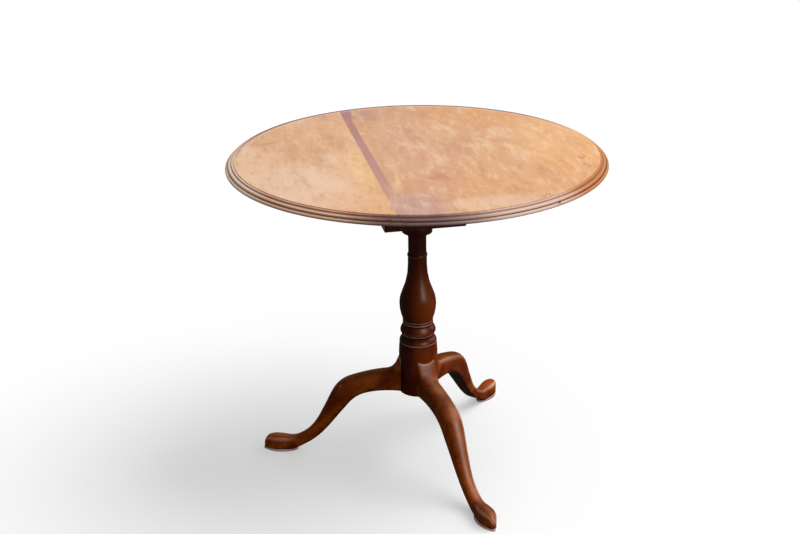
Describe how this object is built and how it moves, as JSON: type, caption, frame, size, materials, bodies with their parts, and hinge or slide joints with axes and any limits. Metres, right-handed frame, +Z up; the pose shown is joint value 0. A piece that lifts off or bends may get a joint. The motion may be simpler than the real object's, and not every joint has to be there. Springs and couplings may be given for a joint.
{
  "type": "tilt-top tripod tea table",
  "caption": "Round tea table whose moulded top tilts and turns on a birdcage, over a turned baluster column and a tripod of cabriole legs with snake feet.",
  "frame": {"origin": "on the floor, under the axis of the column", "axes": "+Z up; +Y along the grain of the top and the hinge; +X towards the catch"},
  "size_m": [0.7999, 0.8, 0.72],
  "materials": {
    "top_wood": "faded mahogany, waxed and worn",
    "pedestal_wood": "dark polished mahogany",
    "cage_wood": "dark unpolished mahogany",
    "brass": "old tarnished brass",
    "iron": "dark old screws"
  },
  "bodies": {
    "pedestal": {"column": "pedestal_wood", "leg_left": "pedestal_wood", "leg_front": "pedestal_wood", "leg_back": "pedestal_wood", "collar": "cage_wood"},
    "key": {"cage_key": "cage_wood"},
    "cage": {"cage_upper_plate": "cage_wood", "cage_lower_plate": "cage_wood", "cage_baluster_1": "cage_wood", "cage_baluster_2": "cage_wood", "cage_baluster_3": "cage_wood", "cage_baluster_4": "cage_wood", "strike_plate": "brass", "strike_screws": "brass"},
    "top": {"top_board_left": "top_wood", "top_board_right": "top_wood", "cleat_front": "cage_wood", "cleat_back": "cage_wood", "cleat_screws": "iron", "catch_case": "brass", "catch_screws": "brass"},
    "bolt": {"catch_bolt": "brass", "catch_knob": "brass"}
  },
  "joints": [
    {"name": "cage_turn", "type": "hinge", "parent": "pedestal", "child": "cage", "pos_m": [0, 0, 0.6], "axis": [0, 0, 1], "continuous": true},
    {"name": "top_tilt", "type": "hinge", "parent": "cage", "child": "top", "pos_m": [-0.0775, 0, 0.6902], "axis": [0, -1, 0], "range_deg": [0, 90]},
    {"name": "bolt_slide", "type": "slide", "parent": "top", "child": "bolt", "axis": [-1, 0, 0], "range_m": [0, 0.007]},
    {"name": "key_slide", "type": "slide", "parent": "pedestal", "child": "key", "axis": [0, -1, 0], "range_m": [0, 0.02]}
  ]
}
